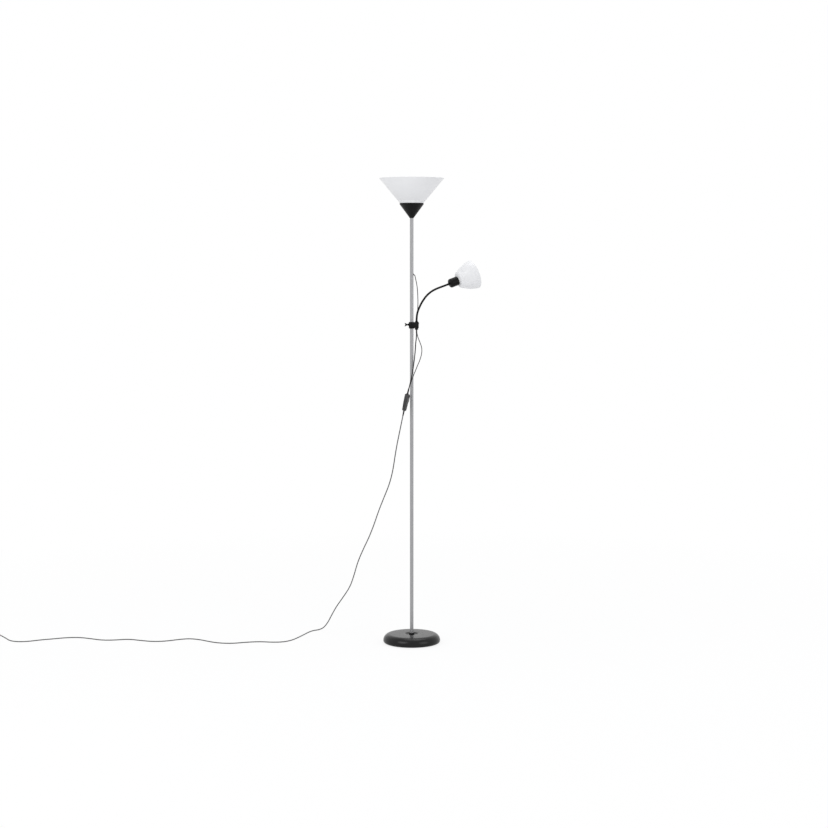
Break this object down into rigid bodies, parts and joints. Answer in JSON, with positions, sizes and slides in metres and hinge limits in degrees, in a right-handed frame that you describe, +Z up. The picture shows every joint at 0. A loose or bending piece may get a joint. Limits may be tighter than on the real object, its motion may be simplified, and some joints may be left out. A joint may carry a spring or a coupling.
{
  "type": "torchiere floor lamp with reading light",
  "caption": "Floor lamp with a conical uplight on a slim pole, a clamp-on gooseneck reading light, an inline double rocker switch and a mains lead.",
  "frame": {"origin": "on the floor under the middle of the pole", "axes": "+Z up, +X to the right and +Y to the back as the picture shows the lamp"},
  "size_m": [1.9881, 0.3586, 1.7799],
  "materials": {
    "black_paint": "satin black coat",
    "ballast": "cast concrete",
    "zinc_plate": "zinc-plated sheet",
    "felt": "felt",
    "black_plastic": "satin moulded",
    "zinc_steel": "zinc-plated",
    "silver_paint": "silver-grey coat",
    "black_rubber": "matte",
    "white_holder": "moulded",
    "brass_contact": "bright",
    "frosted_glass": "frosted",
    "cap_metal": "bright",
    "white_shade": "satin, slightly translucent",
    "white_bell": "satin",
    "grey_cord": "smooth sheath",
    "black_switch": "satin moulded",
    "black_rocker": "glossy",
    "black_plug": "moulded",
    "nickel_pins": "nickel-plated",
    "liner_plastic": "moulded",
    "black_ferrule": "black coat",
    "neck_steel": "dark coat",
    "black_can": "satin black"
  },
  "bodies": {
    "stand": {"base_cover": "black_paint", "base_weight": "ballast", "base_plate": "zinc_plate", "foot_pads": "felt", "foot_collar": "black_plastic", "foot_spigot": "zinc_steel", "base_nut": "zinc_steel", "pole_tube_lower": "silver_paint", "pole_tube_middle": "silver_paint", "pole_tube_upper": "silver_paint", "pole_couplers": "zinc_steel", "pole_top_bush": "zinc_steel", "flex_grommet": "black_rubber", "uplight_cup": "black_plastic", "uplight_nipple": "zinc_steel", "nipple_nut": "zinc_steel", "uplight_holder": "white_holder", "uplight_contact_shell": "brass_contact", "shade_ring": "white_holder", "uplight_bulb": "frosted_glass", "uplight_bulb_cap": "cap_metal", "uplight_shade": "white_shade", "uplight_flex": "grey_cord", "reading_flex_lower": "grey_cord", "switch_base": "black_switch", "switch_cover": "black_switch", "switch_screws": "zinc_steel", "lead_relief": "black_rubber", "flex_relief": "black_rubber", "mains_lead": "grey_cord", "lead_coil": "grey_cord", "lead_tie": "black_rubber", "plug_body": "black_plug", "plug_pins": "nickel_pins"},
    "clamp_slider": {"clamp_liner": "liner_plastic", "reading_flex_upper": "grey_cord"},
    "arm_clamp": {"clamp_block": "black_plastic", "neck_ferrule_lower": "black_ferrule", "neck_nut": "black_ferrule", "flex_sleeve": "black_rubber", "neck_grub_screw": "zinc_steel"},
    "screw_shoe": {"screw_shoe": "zinc_steel"},
    "wing_screw": {"wing_screw": "black_ferrule"},
    "neck_1": {"neck_link_1": "neck_steel"},
    "neck_2": {"neck_link_2": "neck_steel"},
    "neck_3": {"neck_link_3": "neck_steel"},
    "neck_4": {"neck_link_4": "neck_steel"},
    "neck_5": {"neck_link_5": "neck_steel"},
    "neck_6": {"neck_link_6": "neck_steel"},
    "neck_7": {"neck_link_7": "neck_steel"},
    "neck_8": {"neck_link_8": "neck_steel"},
    "head": {"neck_ferrule_upper": "black_ferrule", "reading_can": "black_can", "reading_holder": "white_holder", "reading_shade": "white_bell", "reading_ring": "white_holder", "reading_bulb": "frosted_glass", "reading_bulb_cap": "cap_metal"},
    "uplight_rocker": {"rocker_uplight": "black_rocker"},
    "reading_rocker": {"rocker_reading": "black_rocker"}
  },
  "joints": [
    {"name": "clamp_slide", "type": "slide", "parent": "stand", "child": "clamp_slider", "axis": [0, 0, 1], "range_m": [-0.1, 0.05], "deforming": ["reading_flex_lower"]},
    {"name": "arm_swivel", "type": "hinge", "parent": "clamp_slider", "child": "arm_clamp", "pos_m": [0, 0, 1.225], "axis": [0, 0, 1], "range_deg": [-150, 14], "deforming": ["reading_flex_upper"]},
    {"name": "shoe_slide", "type": "slide", "parent": "arm_clamp", "child": "screw_shoe", "axis": [-0.9272, -0.3746, 0], "range_m": [0, 0.0016]},
    {"name": "screw_turn", "type": "hinge", "parent": "screw_shoe", "child": "wing_screw", "pos_m": [-0.01854, -0.00749, 1.227], "axis": [-0.9272, -0.3746, 0], "range_deg": [0, 720]},
    {"name": "neck_pitch_1", "type": "hinge", "parent": "arm_clamp", "child": "neck_1", "pos_m": [0.01854, 0.00749, 1.25], "axis": [-0.3746, 0.9272, 0], "range_deg": [-8, 14]},
    {"name": "neck_side_2", "type": "hinge", "parent": "neck_1", "child": "neck_2", "pos_m": [0.02164, 0.00874, 1.27377], "axis": [0.847, 0.3422, -0.4067], "range_deg": [-8, 8]},
    {"name": "neck_pitch_3", "type": "hinge", "parent": "neck_2", "child": "neck_3", "pos_m": [0.03069, 0.0124, 1.29569], "axis": [-0.3746, 0.9272, 0], "range_deg": [-8, 14]},
    {"name": "neck_side_4", "type": "hinge", "parent": "neck_3", "child": "neck_4", "pos_m": [0.04182, 0.0169, 1.31648], "axis": [0.7306, 0.2952, -0.6157], "range_deg": [-8, 8]},
    {"name": "neck_pitch_5", "type": "hinge", "parent": "neck_4", "child": "neck_5", "pos_m": [0.05552, 0.02243, 1.33539], "axis": [-0.3746, 0.9272, 0], "range_deg": [-8, 14]},
    {"name": "neck_side_6", "type": "hinge", "parent": "neck_5", "child": "neck_6", "pos_m": [0.07256, 0.02932, 1.35082], "axis": [0.4209, 0.1701, -0.891], "range_deg": [-8, 8]},
    {"name": "neck_pitch_7", "type": "hinge", "parent": "neck_6", "child": "neck_7", "pos_m": [0.09239, 0.03733, 1.36171], "axis": [-0.3746, 0.9272, 0], "range_deg": [-8, 14]},
    {"name": "neck_side_8", "type": "hinge", "parent": "neck_7", "child": "neck_8", "pos_m": [0.11343, 0.04583, 1.36953], "axis": [0.2942, 0.1189, -0.9483], "range_deg": [-8, 8]},
    {"name": "neck_pitch_9", "type": "hinge", "parent": "neck_8", "child": "head", "pos_m": [0.13453, 0.05436, 1.37714], "axis": [-0.3746, 0.9272, 0], "range_deg": [-8, 14]},
    {"name": "uplight_switch", "type": "hinge", "parent": "stand", "child": "uplight_rocker", "pos_m": [-0.01587, -0.03463, 0.94715], "axis": [0.4138, 0.9063, -0.0861], "range_deg": [0, 16]},
    {"name": "reading_switch", "type": "hinge", "parent": "stand", "child": "reading_rocker", "pos_m": [-0.01223, -0.02665, 0.94639], "axis": [0.4138, 0.9063, -0.0861], "range_deg": [-16, 0]}
  ],
  "couplings": [
    {"joint": "screw_turn", "follows": "shoe_slide", "rad_per_m": 7854},
    {"joint": "neck_pitch_3", "follows": "neck_pitch_1", "ratio": 1},
    {"joint": "neck_pitch_5", "follows": "neck_pitch_1", "ratio": 1},
    {"joint": "neck_pitch_7", "follows": "neck_pitch_1", "ratio": 1},
    {"joint": "neck_pitch_9", "follows": "neck_pitch_1", "ratio": 1},
    {"joint": "neck_side_4", "follows": "neck_side_2", "ratio": 1},
    {"joint": "neck_side_6", "follows": "neck_side_2", "ratio": 1},
    {"joint": "neck_side_8", "follows": "neck_side_2", "ratio": 1}
  ]
}
